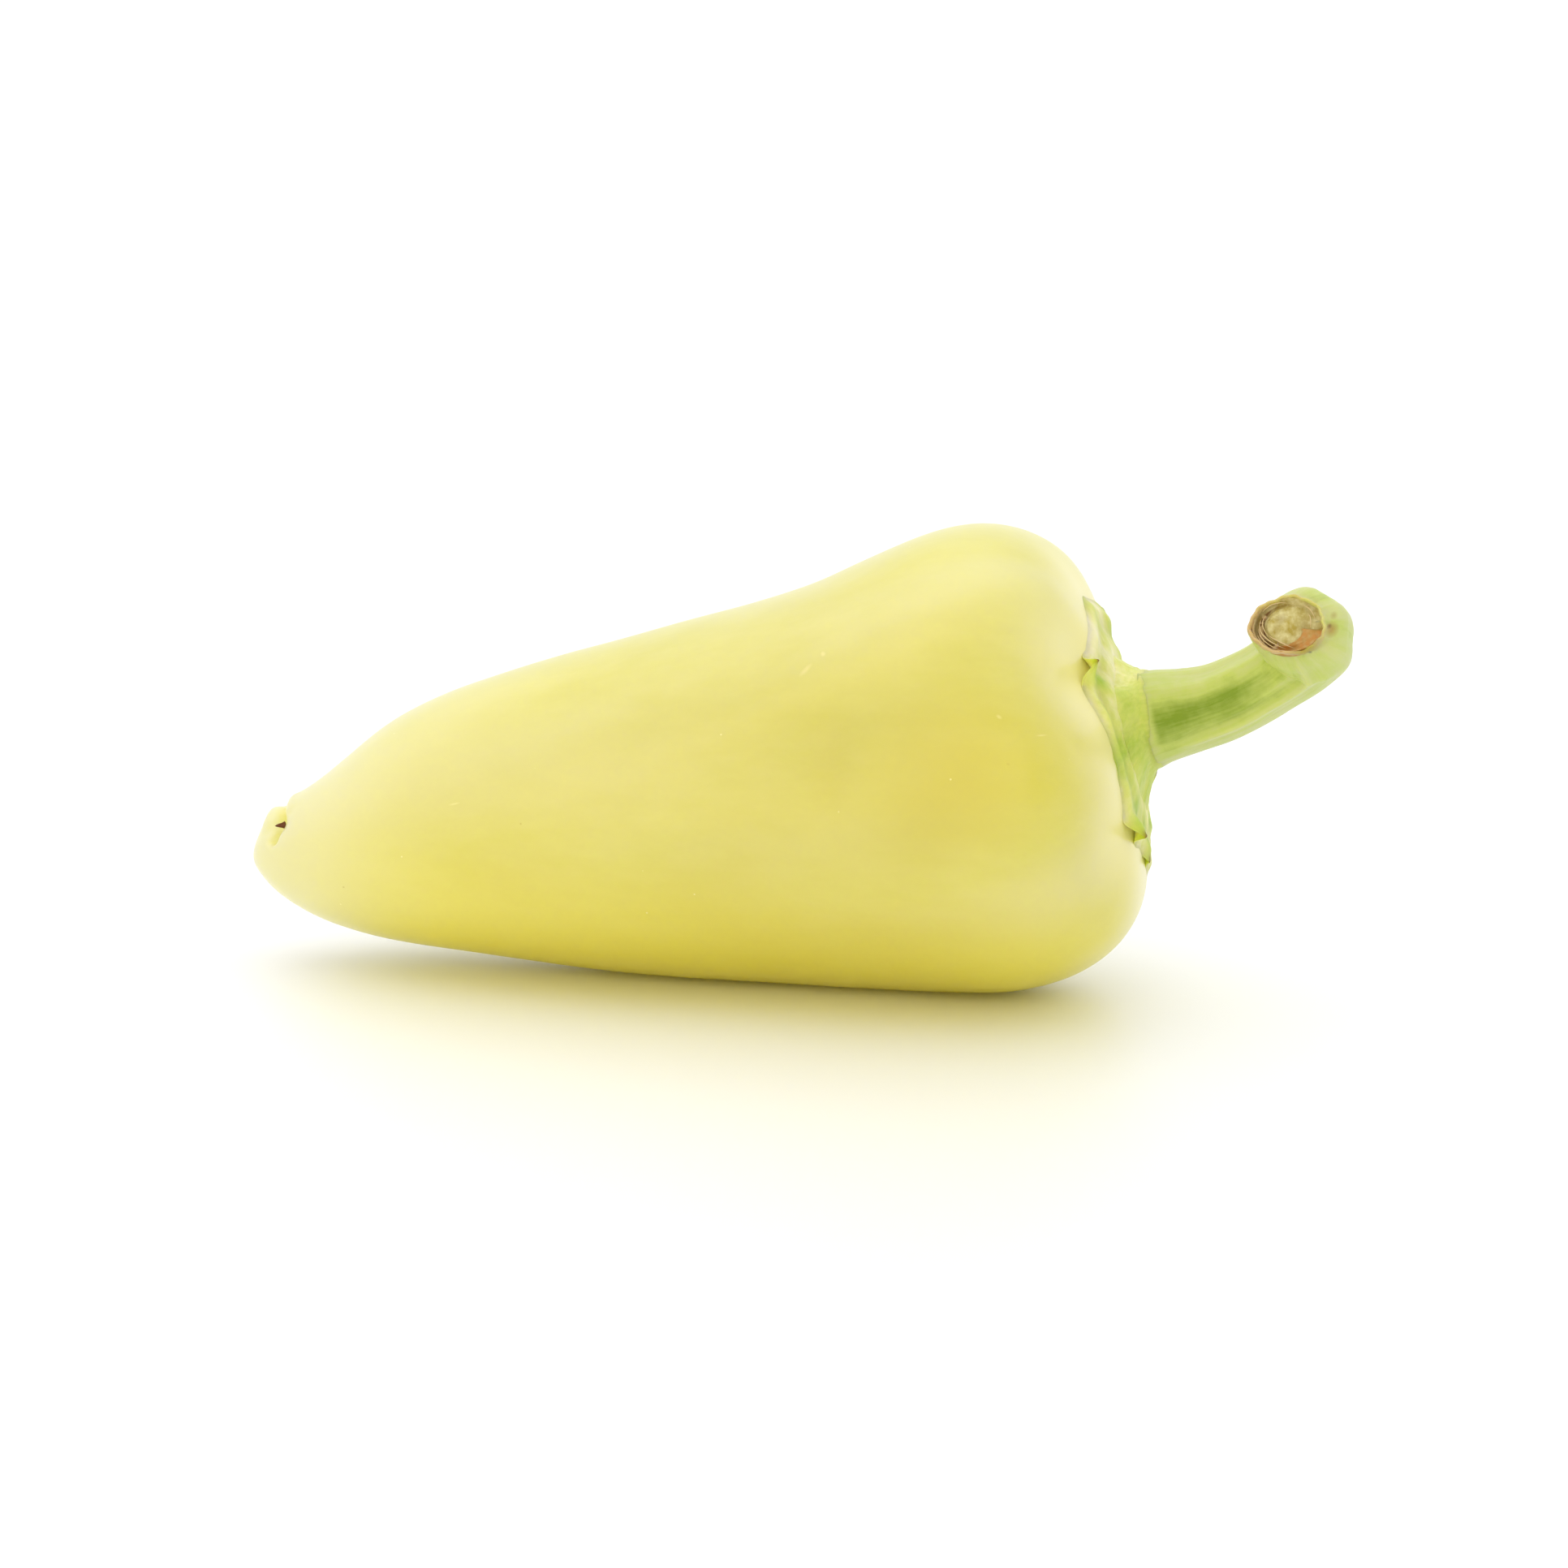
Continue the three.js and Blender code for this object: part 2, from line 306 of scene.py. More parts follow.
def outward(points):
    """Unit normals of a grid whose columns turn from the top towards the viewer's side."""
    along = np.gradient(points, axis=0)
    around = (np.roll(points, -1, axis=1) - np.roll(points, 1, axis=1)) / 2
    normals = np.cross(around, along)
    length = np.linalg.norm(normals, axis=2, keepdims=True)
    return normals / np.maximum(length, 1e-12)


def unrolled(grid):
    """A grid's values in the order of a closed skin's corners: its end rows are one corner each."""
    width = grid.shape[2] if grid.ndim == 3 else 1
    return np.concatenate([
        grid[0].reshape(-1, width).mean(axis=0)[None],
        grid[1:-1].reshape(-1, width),
        grid[-1].reshape(-1, width).mean(axis=0)[None]])


def closed_skin(name, grids, material):
    """One mesh with a closed skin over each grid of points."""
    corners, faces = [], []
    for points in grids:
        rows, columns = points.shape[:2]
        first = len(corners)
        corners += [tuple(corner) for corner in unrolled(points)]
        last = len(corners) - 1
        for j in range(columns):
            k = (j + 1) % columns
            faces.append((first, first + 1 + k, first + 1 + j))
            for i in range(rows - 3):
                row = first + 1 + i * columns
                faces.append((row + j, row + k, row + columns + k, row + columns + j))
            row = first + 1 + (rows - 3) * columns
            faces.append((row + j, row + k, last))
    mesh = bpy.data.meshes.new(name)
    mesh.from_pydata(corners, [], faces)
    mesh.polygons.foreach_set("use_smooth", [True] * len(faces))
    mesh.materials.append(material)
    piece = bpy.data.objects.new(name, mesh)
    bpy.context.scene.collection.objects.link(piece)
    return piece


def keep(piece, name, grid):
    """Keeps a number or a vector at each corner of a closed skin, for its material to read."""
    values = unrolled(grid)
    kind = ("FLOAT", "value") if values.shape[1] == 1 else ("FLOAT_VECTOR", "vector")
    layer = piece.data.attributes.new(name, kind[0], "POINT")
    layer.data.foreach_set(kind[1], values.astype(np.float32).ravel())


def kept(tree, name, output="Fac"):
    """What keep() stored, for a material's nodes."""
    node = add_node(tree, "ShaderNodeAttribute", attribute_name=name, attribute_type="GEOMETRY")
    return node.outputs[output]


def distance_mm(points, line_mm):
    """How far each point of a grid is from a line through places given in millimetres."""
    nearest = np.full(points.shape[:2], np.inf)
    for a, b in zip(line_mm[:-1], line_mm[1:]):
        start, run = np.array(a), np.array(b) - np.array(a)
        share = np.clip((points / MM - start) @ run / (run @ run), 0, 1)
        nearest = np.minimum(nearest, np.linalg.norm(points / MM - start - share[..., None] * run, axis=2))
    return nearest


def smooth_step(low, high, value):
    """0 below low, 1 above high, and a smooth rise between them."""
    share = np.clip((value - low) / (high - low), 0, 1)
    return share * share * (3 - 2 * share)


def hump(apart, half_width):
    """1 in the middle, and a bell-shaped fall on both sides to about a third at the half width."""
    return np.exp(-(apart / half_width) ** 2)


def degrees_apart(turns, middle):
    """How far turns in degrees are from a middle one, the short way round."""
    return (turns - middle + 180) % 360 - 180


def noise_of(tree, place, size_mm, detail, roughness):
    """Lumpy random numbers over a surface, about 0.5, with lumps of one size and smaller ones on them."""
    return add_node(tree, "ShaderNodeTexNoise", {
        "Vector": place, "Scale": 1 / (size_mm * MM),
        "Detail": detail, "Roughness": roughness}).outputs["Fac"]


def bumped(tree, shader, height, strength, depth_mm):
    """Makes a material's face rise and fall with a height."""
    bump = add_node(tree, "ShaderNodeBump", {
        "Height": height, "Strength": strength, "Distance": depth_mm * MM})
    tree.links.new(bump.outputs["Normal"], shader.inputs["Normal"])


def marked(tree, colour, place, half_sizes, lean, full_to, strength, mark_colour):
    """The colour with an oval mark on it: full out to a share of its half sizes, then fading out."""
    oval = add_node(tree, "ShaderNodeMapping", {
        "Vector": add_node(tree, "ShaderNodeTexCoord").outputs["Object"],
        "Location": [c * MM for c in place], "Rotation": (0, math.radians(-lean), 0),
        "Scale": [c * MM for c in half_sizes]}, vector_type="TEXTURE").outputs["Vector"]
    away = add_node(tree, "ShaderNodeVectorMath", {0: oval}, operation="LENGTH").outputs["Value"]
    return blend(tree, rescaled(tree, away, full_to, 1.0, strength, 0.0), colour, linear(mark_colour))


TIP_MIDDLE = Vector((TIP_CENTRE, 0, TIP_HEIGHT))
SHOULDER_MIDDLE = Vector((SHOULDER_CENTRE, 0, SHOULDER_HEIGHT))
POD_AXIS = (SHOULDER_MIDDLE - TIP_MIDDLE).normalized()
POD_UP, POD_SIDE = arms_across(POD_AXIS)

pod_grid = blurred(rays_over(cad_surface("pod")), SMOOTH_ROWS, SMOOTH_AROUND)
along_mm = (pod_grid[:, :, 0] - POD_LOW.x) / MM
turn_deg = np.degrees(2 * np.pi * np.arange(AROUND) / AROUND)[None, :] + 0 * along_mm
rise_mm = np.zeros_like(along_mm)
for height, along, turn, half_length, half_width, lean in SWELLINGS:
    apart = degrees_apart(turn_deg, turn + lean * (along_mm - along))
    rise_mm += height * hump(along_mm - along, half_length) * hump(apart, half_width)

# Painted highlight and shade: the crests of the swellings are painted paler and the dents deeper in colour.
pale = 0.45 * rise_mm
for share, along, turn, half_length, half_width in PAINTED_LIGHT_PATCHES:
    pale += share * hump(along_mm - along, half_length) * hump(degrees_apart(turn_deg, turn), half_width)

# Growth makes the skin very slightly uneven everywhere.
for patch_mm, height in ((18, 0.22), (7, 0.07)):
    for i in range(pod_grid.shape[0]):
        for j in range(AROUND):
            rise_mm[i, j] += height * noise.noise(Vector(pod_grid[i, j]) / (patch_mm * MM))

# The flower's scar: a short deep crease, with a nub of skin on its outer side and a lip on its inner side.
crease_mm = distance_mm(pod_grid, SCAR_CREASE)
rise_mm -= SCAR_DEPTH * hump(crease_mm, SCAR_HALF_WIDTH)
rise_mm += 0.45 * hump(distance_mm(pod_grid, SCAR_NUB), 1.0)
rise_mm += 0.3 * hump(distance_mm(pod_grid, SCAR_LIP), 0.8)
pod_grid += outward(pod_grid) * rise_mm[:, :, None] * MM
pod_grid[:, :, 2] = np.maximum(pod_grid[:, :, 2], 0.0)

# Beside the cap the flesh is painted paler, a painted highlight on the shoulder's rim, and lets less light
# in.
calyx_surface = cad_surface("calyx")
collar = np.zeros_like(along_mm)
for i, j in np.argwhere(along_mm > 80):
    from_cap_mm = calyx_surface.find_nearest(Vector(pod_grid[i, j]))[3] / MM
    collar[i, j] = 1 - smooth_step(0.5, COLLAR_MM, from_cap_mm)

# Pepper skin: a pale yellow cuticle with its own wax, over wet flesh that light goes into. That gives the
# eye a soft even gloss, pale edges, and a deeper yellow wherever the light has come through the flesh.
skin, tree, shader = new_material("waxed_pepper_skin")
place = add_node(tree, "ShaderNodeTexCoord").outputs["Object"]
stretched = add_node(tree, "ShaderNodeMapping", {"Vector": place, "Scale": (0.35, 1, 1)}).outputs["Vector"]
# Patches of ripening, about 14 mm across and three times as long, with a fine mottle in them.
patches = noise_of(tree, stretched, 14, 3.0, 0.5)
mottle = noise_of(tree, stretched, 2.6, 4.0, 0.6)
patch_mix = add_node(tree, "ShaderNodeMix", {"Factor": 0.3, "A": patches, "B": mottle}).outputs["Result"]
yellow = blend(tree, rescaled(tree, patch_mix, 0.38, 0.62), linear("#ccc76a"), linear("#d2cd7e"))
# Painted highlight and shade: the flesh is painted palest along the crests of the lobes and at the tip, and
# the dents are painted deeper in colour.
yellow = blend(tree, kept(tree, "pale"), yellow, linear("#d6d1aa"))
yellow = blend(tree, kept(tree, "deep"), yellow, linear("#c6bb4a"))
# Painted shade: its lower side is painted a deeper yellow, and beside the cap a painted highlight makes it
# pale.
yellow = blend(tree, kept(tree, "low"), yellow, linear("#e1d644"))
yellow = blend(tree, kept(tree, "collar"), yellow, linear("#f5eda2"))
# The skin thins to a warm yellow round the scar.
yellow = blend(tree, kept(tree, "scar"), yellow, linear("#e6cf5a"))
for centre, half_length, half_width, lean, strength, colour in NICKS:
    half_sizes = (half_length, NICK_DEPTH, half_width)
    yellow = marked(tree, yellow, centre, half_sizes, lean, NICK_CORE, strength, colour)
# Breathing pores: pale specks about 0.2 mm across, some 5 mm apart.
pores = add_node(tree, "ShaderNodeTexVoronoi", {"Vector": place, "Scale": 1 / (5 * MM)}).outputs["Distance"]
yellow = blend(tree, rescaled(tree, pores, 0.016, 0.03, 0.5, 0.0), yellow, linear("#f7f3d2"))
tree.links.new(yellow, shader.inputs["Base Color"])
# The cuticle is faintly grained, about 0.8 mm from lump to lump, and drawn out along the fruit.
bumped(tree, shader, noise_of(tree, stretched, 0.8, 3.0, 0.6), 0.35, 0.05)
shader.inputs["Roughness"].default_value = 0.32
shader.inputs["IOR"].default_value = 1.46
shader.inputs["Coat Weight"].default_value = 0.5
shader.inputs["Coat Roughness"].default_value = 0.28
shader.inputs["Coat IOR"].default_value = 1.55
tree.links.new(kept(tree, "clear"), shader.inputs["Subsurface Weight"])
shader.inputs["Subsurface Radius"].default_value = (1.0, 0.95, 0.2)
shader.inputs["Subsurface Scale"].default_value = 48 * MM

pod = closed_skin("pod_skin", [pod_grid], skin)
# Painted highlight and shade: pale on the crests and the tip, deep in the dents.
keep(pod, "pale", np.clip(pale, 0, 1))
keep(pod, "deep", np.clip(-0.6 * pale, 0, 1) * 1.9)
keep(pod, "scar", 0.4 * hump(distance_mm(pod_grid, SCAR_CREASE), 0.8))
# Painted highlight: the pale band beside the cap.
keep(pod, "collar", collar)
# Painted shade: the lower side, deeper in colour.
keep(pod, "low", 0.9 * (1 - smooth_step(0, 24, pod_grid[:, :, 2] / MM)) * smooth_step(4, 30, along_mm))
keep(pod, "clear", 1 - 0.85 * collar - 0.4 * hump(along_mm, 10))
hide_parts("pod")
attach(pod, "root")


# Calyx -----------------------------------------------------------------------------------------------------
# The green cap that held the flower: a thin tough disc grown onto the shoulder, with a few small dry-tipped
# teeth that stand off it, and a fluted cone of the same flesh that swells up into the stem.

CALYX_AROUND = 480
CONE_FOOT = 0.6  # share of the disc, from its middle, where the cone begins
DISC_EDGE = 0.2  # thickness, mm
DISC_BODY = 0.6
JOINT = Vector((44.1, 0.2, 34.2)) * MM
JOINT_AXIS = Vector((4.6, 0, 1.0)).normalized()
JOINT_RADIUS = 6.1 * MM
JOINT_UP, JOINT_SIDE = arms_across(JOINT_AXIS)
MM_OF_TILT = 26.0  # mm of skin for each radian of tilt
UNDER_ROWS, RIM_ROWS, DISC_ROWS, CONE_ROWS = 15, 9, 45, 44

# The teeth: turn from the top towards the viewer's side in degrees, how far the tip stands off and how far it
# reaches past the margin in mm, half width in degrees, and how dry the tip is.
TEETH = [
    (4, 0.0, 0.2, 6, 0.0),
    (45, 3.1, 0.3, 4.5, 1.0),
    (92, 0.15, 0.0, 8, 0.0),
    (128, 2.6, 0.1, 4.5, 1.0),
    (159, 0.8, 0.3, 4, 1.0),
    (204, 0.9, 0.5, 8, 0.6),
    (243, 1.7, 0.4, 7, 1.0),
    (298, 1.4, 0.5, 7, 1.0),
    (336, 0.6, 0.3, 8, 0.5),
]

# The cone's flutes: turn in degrees at the joint, and how many degrees further round they meet the disc.
FLUTES = [
    (4, 0), (45, 4), (70, 0), (92, 3), (112, 0), (130, -4), (160, 0), (204, 4), (243, 0), (298, 0), (336, 3)]


def on_skin(tilts, turns):
    """Points and normals of the pod's shoulder, from the tilt off the blossom end and the turn in radians."""
    rows = TIP_ROWS + BODY_ROWS + (tilts / (math.pi / 2) - 1) * SHOULDER_ROWS
    columns = turns / (2 * math.pi) * AROUND
    row = np.clip(np.floor(rows).astype(int), 0, len(pod_grid) - 2)
    column = np.floor(columns).astype(int)
    down, across = (rows - row)[..., None], (columns - column)[..., None]
    here, beside = column % AROUND, (column + 1) % AROUND
    return [
        (grid[row, here] * (1 - across) + grid[row, beside] * across) * (1 - down)
        + (grid[row + 1, here] * (1 - across) + grid[row + 1, beside] * across) * down
        for grid in (pod_grid, pod_normals)]


def lumps_over(points, size_mm, seed):
    """Smooth random numbers over a grid of points, about 0, with lumps of one size."""
    shift = Vector((seed, 2.3 * seed, -1.7 * seed))
    values = [noise.noise(Vector(p) / (size_mm * MM) + shift) for p in points.reshape(-1, 3)]
    return np.array(values).reshape(points.shape[:-1])


def added(tree, first, second):
    """The sum of two numbers, kept between 0 and 1."""
    return add_node(tree, "ShaderNodeMath", {
        0: first, 1: second}, operation="ADD", use_clamp=True).outputs["Value"]


def greens(tree, shade, pale, middle, middle_at, deep):
    """Plant green by its shade: pale at 0, deep at 1, and one colour between them."""
    node = add_node(tree, "ShaderNodeValToRGB", {"Fac": shade})
    ends = node.color_ramp.elements
    ends[0].position, ends[0].color = 0.0, linear(pale)
    ends[1].position, ends[1].color = 1.0, linear(deep)
    ends.new(middle_at).color = linear(middle)
    return node.outputs["Color"]


pod_normals = outward(pod_grid)
pod_normals[-1] = pod_normals[-2].mean(axis=0)

# The margin is where the CAD piece's is, smoothed, and made ragged and toothed. It is kept as a tilt off the
# blossom end at each turn.
calyx_turns = 2 * np.pi * np.arange(CALYX_AROUND) / CALYX_AROUND
calyx_turns_deg = np.degrees(calyx_turns)
margin = np.zeros(CALYX_AROUND)
for j, turn in enumerate(calyx_turns):
    arm = arm_at(turn, POD_UP, POD_SIDE)
    for tilt in np.arange(1.9, math.pi, 0.01):
        if calyx_surface.ray_cast(SHOULDER_MIDDLE, arm * math.sin(tilt) - POD_AXIS * math.cos(tilt))[0]:
            margin[j] = tilt
            break
margin = sum(np.roll(margin, k) for k in range(-6, 7)) / 13

ragged = np.array([
    noise.noise(Vector((3.2 * math.cos(t), 3.2 * math.sin(t), 1.5))) * 0.6
    + noise.noise(Vector((11 * math.cos(t), 11 * math.sin(t), 4.5))) * 0.3 for t in calyx_turns])
tooth_lift = np.zeros(CALYX_AROUND)
tooth_dry = np.zeros(CALYX_AROUND)
tooth_near = np.zeros(CALYX_AROUND)
for turn, stand, reach, width, dry in TEETH:
    apart = degrees_apart(calyx_turns_deg, turn)
    tooth = np.exp(-np.abs(apart / width) ** 1.6)
    tooth_lift += stand * tooth
    ragged += reach * tooth
    tooth_dry = np.maximum(tooth_dry, dry * hump(apart, 0.34 * width))
    tooth_near = np.maximum(tooth_near, hump(apart, 1.4 * width))
margin -= ragged / MM_OF_TILT

# The cap is palest on top.
disc_green = 0.3 - 0.36 * hump(degrees_apart(calyx_turns_deg, 8), 32)
calyx_rows, calyx_green, calyx_dry = [], [], []
disc = math.pi - margin
foot = math.pi - CONE_FOOT * disc


def disc_row(tilt, height_mm, green, dry=0.0):
    """One ring of the calyx at a height over the pod's skin."""
    points, normals = on_skin(tilt, calyx_turns)
    from_margin = (tilt - margin) * MM_OF_TILT
    curl = np.clip(1 - from_margin / 3.2, 0, 1) ** 1.7
    lift = tooth_lift * curl + 0.02
    calyx_rows.append(points + normals * ((height_mm + lift)[:, None] * MM))
    calyx_green.append(green + 0 * tilt)
    calyx_dry.append(dry + 0 * tilt)


# The underside, from the middle out, a little inside the pod's skin.
for share in np.linspace(0, 1, UNDER_ROWS + 1)[:-1]:
    disc_row(math.pi - share * disc, -0.1 * np.ones(CALYX_AROUND), 0.2)
# The rounded rim.
for bend in np.linspace(-80, 80, RIM_ROWS):
    out = 0.3 * math.cos(math.radians(bend)) / MM_OF_TILT
    height = DISC_EDGE * (0.5 + 0.5 * math.sin(math.radians(bend))) - 0.2
    disc_row(margin - out, height * np.ones(CALYX_AROUND), disc_green + 0.05 + 0.6 * tooth_near, tooth_dry)
# The upper side, from the rim in, with a low roll beside the rim and a hollow inside that.
first_over = len(calyx_rows)
for share in np.linspace(0, 1, DISC_ROWS + 1)[1:]:
    tilt = margin + share * (foot - margin)
    roll = 0.2 * hump(share - 0.16, 0.11) - 0.2 * hump(share, 0.12) - 0.3 * hump(share - 0.5, 0.2)
    height = DISC_EDGE + (DISC_BODY - DISC_EDGE) * math.sin(share * math.pi / 2) + roll
    green = disc_green + 0.3 * hump(share - 0.55, 0.28) + 0.55 * tooth_near * (1 - 0.6 * share)
    disc_row(tilt, height * np.ones(CALYX_AROUND), green, tooth_dry * hump(share, 0.07))
# The cone, up to the joint with the stem.
ring = np.array([JOINT + JOINT_RADIUS * arm_at(turn, JOINT_UP, JOINT_SIDE) for turn in calyx_turns])
cone_foot = calyx_rows[-1]
climb = ((ring - cone_foot) @ np.array(JOINT_AXIS))[:, None]
for rise in np.linspace(0, 1, CONE_ROWS + 1)[1:]:
    inward = math.sin(rise * math.pi / 2)
    calyx_rows.append(
        cone_foot + (ring - cone_foot) * inward + np.array(JOINT_AXIS) * (rise - inward) * climb)
    calyx_green.append(disc_green + 0.27 + 0.14 * rise + 0.2 * tooth_near * (1 - rise))
    calyx_dry.append(0 * calyx_turns)
last_cone = len(calyx_rows) - 1
# Its rim thins out onto the stem and closes inside it.
for shrink, ahead in ((0.988, 0.3), (0.968, 0.6), (0.935, 0.85), (0.4, 0.85), (0.0, 0.85)):
    centre = np.array(JOINT + JOINT_AXIS * ahead * MM)
    calyx_rows.append(centre + (ring - np.array(JOINT)) * shrink)
    calyx_green.append(disc_green + 0.41)
    calyx_dry.append(0 * calyx_turns)

calyx_grid = np.array(calyx_rows)
calyx_green = np.array(calyx_green)
calyx_dry = np.array(calyx_dry)
place_in = (np.arange(len(calyx_rows)) - first_over) / (last_cone - first_over)
shown = (smooth_step(0, 0.12, place_in) * (1 - smooth_step(0.86, 1, place_in)))[:, None]
# The flutes run on into the disc as ribs, and between them the flesh is crumpled.
flutes = sum(hump(degrees_apart(calyx_turns_deg, turn + further), 8) for turn, further in FLUTES)
fibre_place = np.stack([
    np.tile(np.cos(calyx_turns) * 14, (len(calyx_rows), 1)),
    np.tile(np.sin(calyx_turns) * 14, (len(calyx_rows), 1)),
    np.tile((np.arange(len(calyx_rows)) * 0.12)[:, None], (1, CALYX_AROUND))], axis=2) * MM
fibre_lumps = lumps_over(fibre_place, 1.1, 5)
crumple = lumps_over(calyx_grid, 2.6, 9)
relief_mm = shown * (0.2 * flutes[None, :] + 0.08 * fibre_lumps + 0.17 * crumple)
calyx_grid += outward(calyx_grid) * relief_mm[:, :, None] * MM
calyx_green += 0.16 * crumple + 0.1 * fibre_lumps

# Calyx flesh: matt pale green with a little yellow, greener along its folds, which lets light in like a leaf.
leaf, tree, shader = new_material("calyx_flesh")
# Veins, about half a millimetre apart and many times as long.
veins = noise_of(tree, kept(tree, "fibre", "Vector"), 0.9, 4.0, 0.6)
shade = added(tree, kept(tree, "green"), rescaled(tree, veins, 0.3, 0.7, -0.08, 0.08))
green = greens(tree, shade, "#fefbc6", "#d8df7c", 0.45, "#a5c13c")
leaf_colour = blend(tree, kept(tree, "dry"), green, linear("#6b4420"))
tree.links.new(leaf_colour, shader.inputs["Base Color"])
shader.inputs["Roughness"].default_value = 0.5
shader.inputs["IOR"].default_value = 1.42
shader.inputs["Subsurface Weight"].default_value = 0.6
shader.inputs["Subsurface Radius"].default_value = (0.8, 1.0, 0.2)
shader.inputs["Subsurface Scale"].default_value = 2 * MM
bumped(tree, shader, veins, 0.5, 0.12)

calyx = closed_skin("calyx_cap", [calyx_grid], leaf)
keep(calyx, "green", calyx_green)
keep(calyx, "dry", calyx_dry)
keep(calyx, "fibre", fibre_place)
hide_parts("calyx")
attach(calyx, "root")


# Stem ------------------------------------------------------------------------------------------------------
# The fruit's stalk: a tough ribbed rod of green fibres that leaves the cone and curls round to the viewer. It
# was cut from the plant at its swollen joint, where the skin has dried back into a tan lip round the pith.

# The middle of the stem and its radius, mm.
STEM_PATH = [
    (44.1, 0.2, 34.2), (48.7, 0.2, 35.45), (53.3, -0.3, 37.1), (57.6, -1.2, 39.6),
    (61.2, -2.8, 42.3), (63.4, -5.6, 45.0), (62.9, -9.0, 46.7), (61.4, -12.6, 48.3)]
STEM_RADII = [6.08, 5.1, 4.7, 4.5, 4.6, 5.1, 5.6, 4.9]

# The cut runs a little askew to the stem, and the swollen end is oval there, mm.
CUT_FACES = Vector((-0.10, -0.85, 0.51)).normalized()
CUT_UP = (Vector((0, 0, 1)) - CUT_FACES * CUT_FACES.z).normalized()
CUT_ACROSS = CUT_UP.cross(CUT_FACES)
CUT_HALF_WIDTH = 4.6
CUT_HALF_HEIGHT = 3.7
STEM_ROWS = 260
STEM_AROUND = 200

# Ridges and grooves along the stem: height mm, turn in degrees, half width in degrees, and the shares of the
# length where it begins and ends.
STEM_RIDGES = [
    (0.42, 133, 7, 0.08, 0.93),
    (-0.3, 118, 9, 0.1, 0.8),
    (0.25, 48, 12, 0.0, 0.6),
    (-0.28, 86, 22, 0.05, 0.85),
    (0.2, 12, 14, 0.0, 1.0),
    (0.3, 190, 14, 0.0, 1.0),
    (0.3, 250, 14, 0.0, 1.0),
    (0.28, 312, 14, 0.0, 1.0),
    (-0.25, 220, 14, 0.0, 1.0),
    (-0.22, 282, 14, 0.0, 1.0),
]

# Brown spots beside the cut: place and half width in mm, strength, colour.
BROWN_SPOTS = [
    ((66.4, -12.3, 47.9), 1.0, 0.75, "#a98438"),
    ((66.2, -12.6, 48.3), 0.32, 0.8, "#7c5722"),
    ((66.6, -11.7, 49.4), 0.5, 0.5, "#a08a3c"),
    ((64.1, -13.6, 45.4), 0.3, 0.8, "#4c4420"),
    ((62.4, -11.5, 52.3), 1.3, 0.6, "#bd9a52"),
    ((64.4, -12.2, 51.3), 0.8, 0.4, "#b5953f"),
]
SPOT_DEPTH = 3.0  # how far through the curved rind a spot reaches, mm
SPOT_CORE = 0.2


def curve_through(points, count):
    """Evenly shared points of a smooth curve through places given in a list: count rows."""
    knots = np.array([2 * np.array(points[0]) - points[1]] + [np.array(p) for p in points]
                     + [2 * np.array(points[-1]) - points[-2]], dtype=float)
    rows = []
    for u in np.linspace(0, len(points) - 1, count):
        i = min(int(u), len(points) - 2)
        t = u - i
        a, b, c, d = knots[i:i + 4]
        rows.append(0.5 * (2 * b + (c - a) * t + (2 * a - 5 * b + 4 * c - d) * t ** 2
                           + (3 * b - a - 3 * c + d) * t ** 3))
    return np.array(rows)


def frames_along(path):
    """The tangent and two arms across a path at each of its points, turning no more than the path does."""
    tangents = np.gradient(path, axis=0)
    tangents /= np.linalg.norm(tangents, axis=1, keepdims=True)
    ups, sides = [], []
    up = np.array((0.0, 0.0, 1.0))
    for tangent in tangents:
        up = up - tangent * (up @ tangent)
        up /= np.linalg.norm(up)
        ups.append(up)
        sides.append(np.cross(tangent, up))
    return tangents, np.array(ups), np.array(sides)


def tube(path, arms):
    """Rings of points round a path, from the length of the arm at each row and column."""
    _, ups, sides = frames_along(path)
    turns = (2 * np.pi * np.arange(arms.shape[1]) / arms.shape[1])[:, None]
    return path[:, None] + arms[:, :, None] * (np.cos(turns) * ups[:, None] + np.sin(turns) * sides[:, None])


stem_middle = curve_through(STEM_PATH, STEM_ROWS) * MM
stem_radius = curve_through([(r,) for r in STEM_RADII], STEM_ROWS)[:, 0]
stem_share = np.linspace(0, 1, STEM_ROWS)[:, None]
stem_turn = (2 * np.pi * np.arange(STEM_AROUND) / STEM_AROUND)[None, :]
stem_turn_deg = np.degrees(stem_turn)
stem_straight = np.stack([
    stem_share * 30 + 0 * stem_turn,
    5 * np.cos(stem_turn) + 0 * stem_share,
    5 * np.sin(stem_turn) + 0 * stem_share], axis=2) * MM

arm_mm = stem_radius[:, None] + 0 * stem_turn
ridge_here = 0 * arm_mm
groove_here = 0 * arm_mm
for height, turn, width, begin, end in STEM_RIDGES:
    fade_in = smooth_step(begin - 0.02, begin + 0.12, stem_share)
    fade_out = 1 - smooth_step(end - 0.1, end + 0.05, stem_share)
    shape = hump(degrees_apart(stem_turn_deg, turn), width) * fade_in * fade_out
    arm_mm += height * shape
    if height > 0:
        ridge_here = np.maximum(ridge_here, shape)
    else:
        groove_here = np.maximum(groove_here, shape)
# Fibres run lengthwise; where the stem bends, its inner side is wrinkled across.
fibres = lumps_over(stem_straight * np.array((0.12, 1, 1)), 0.9, 3)
lumps = lumps_over(stem_straight, 4.5, 7)
wrinkles = lumps_over(stem_straight * np.array((2.6, 0.5, 0.5)), 1.6, 11)
inner = hump(degrees_apart(stem_turn_deg, 60), 50) * smooth_step(0.55, 0.8, stem_share)
arm_mm += 0.09 * fibres + 0.22 * lumps + 0.22 * wrinkles * inner
